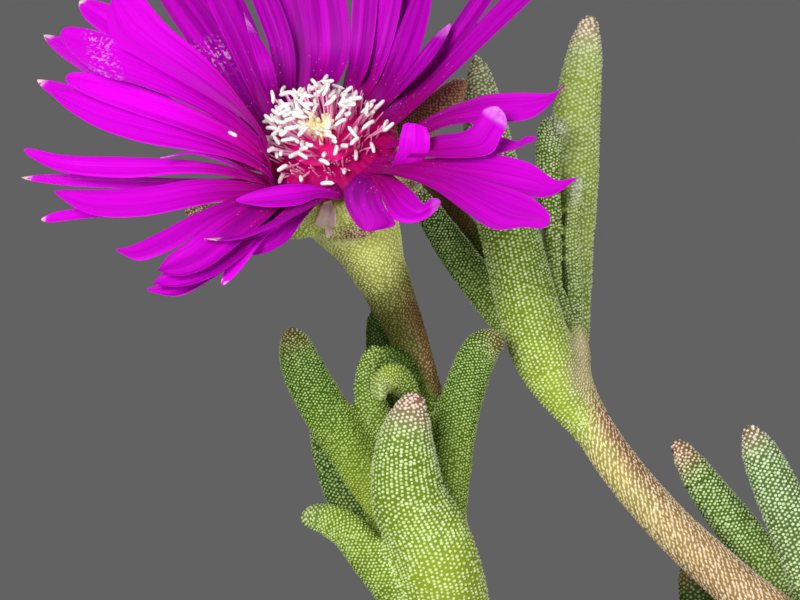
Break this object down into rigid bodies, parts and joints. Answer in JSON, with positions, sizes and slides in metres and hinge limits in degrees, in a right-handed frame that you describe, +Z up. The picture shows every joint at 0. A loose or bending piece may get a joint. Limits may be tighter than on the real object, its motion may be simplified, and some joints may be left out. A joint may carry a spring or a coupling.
{
  "type": "potted ice plant",
  "caption": "Trailing ice plant in a plain clay pot: papillate, finger-like paired leaves on branching shoots and a broad magenta daisy-like flower with a pale tuft of stamens.",
  "frame": {"origin": "centre of the pot's underside, where it rests", "axes": "+Z up; -Y towards the viewer of the picture; +X to the viewer's right"},
  "size_m": [0.1, 0.1, 0.1682],
  "materials": {
    "clay": "matt fired clay",
    "soil": "rough gritty compost",
    "leaf": "fleshy green with glistening papillae",
    "petal": "satin magenta petal",
    "stamen": "matt off-white"
  },
  "bodies": {
    "root": {"pot": "clay", "soil": "soil", "flowering_shoot": "leaf", "arching_shoot": "leaf", "edge_shoot": "leaf", "low_shoot_1": "leaf", "low_shoot_2": "leaf", "low_shoot_3": "leaf", "low_shoot_4": "leaf", "low_shoot_5": "leaf", "low_shoot_6": "leaf", "trailing_shoot_1": "leaf", "trailing_shoot_2": "leaf", "petals": "petal", "stamens": "stamen"}
  },
  "joints": []
}
